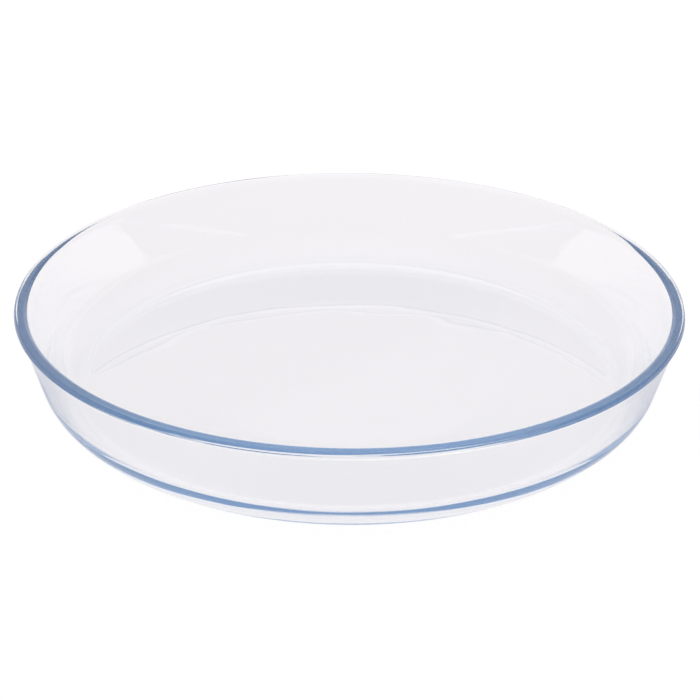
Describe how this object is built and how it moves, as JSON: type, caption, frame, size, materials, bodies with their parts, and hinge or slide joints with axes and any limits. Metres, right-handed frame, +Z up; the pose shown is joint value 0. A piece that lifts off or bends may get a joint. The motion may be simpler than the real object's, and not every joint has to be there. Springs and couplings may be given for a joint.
{
  "type": "round glass baking dish",
  "caption": "Shallow round oven dish in clear glass with a flared wall, rounded heel, flat floor and a small outward lip, standing on a foot ring.",
  "frame": {"origin": "on the table, under the middle of the base", "axes": "+Z up along the axis of the dish; the dish is round, so +X and +Y are any two level directions"},
  "size_m": [0.28, 0.28, 0.042],
  "materials": {
    "clear_glass": "clear and fire polished, with a blue cast where the glass is seen edge on"
  },
  "bodies": {
    "root": {"glass_dish": "clear_glass"}
  },
  "joints": []
}
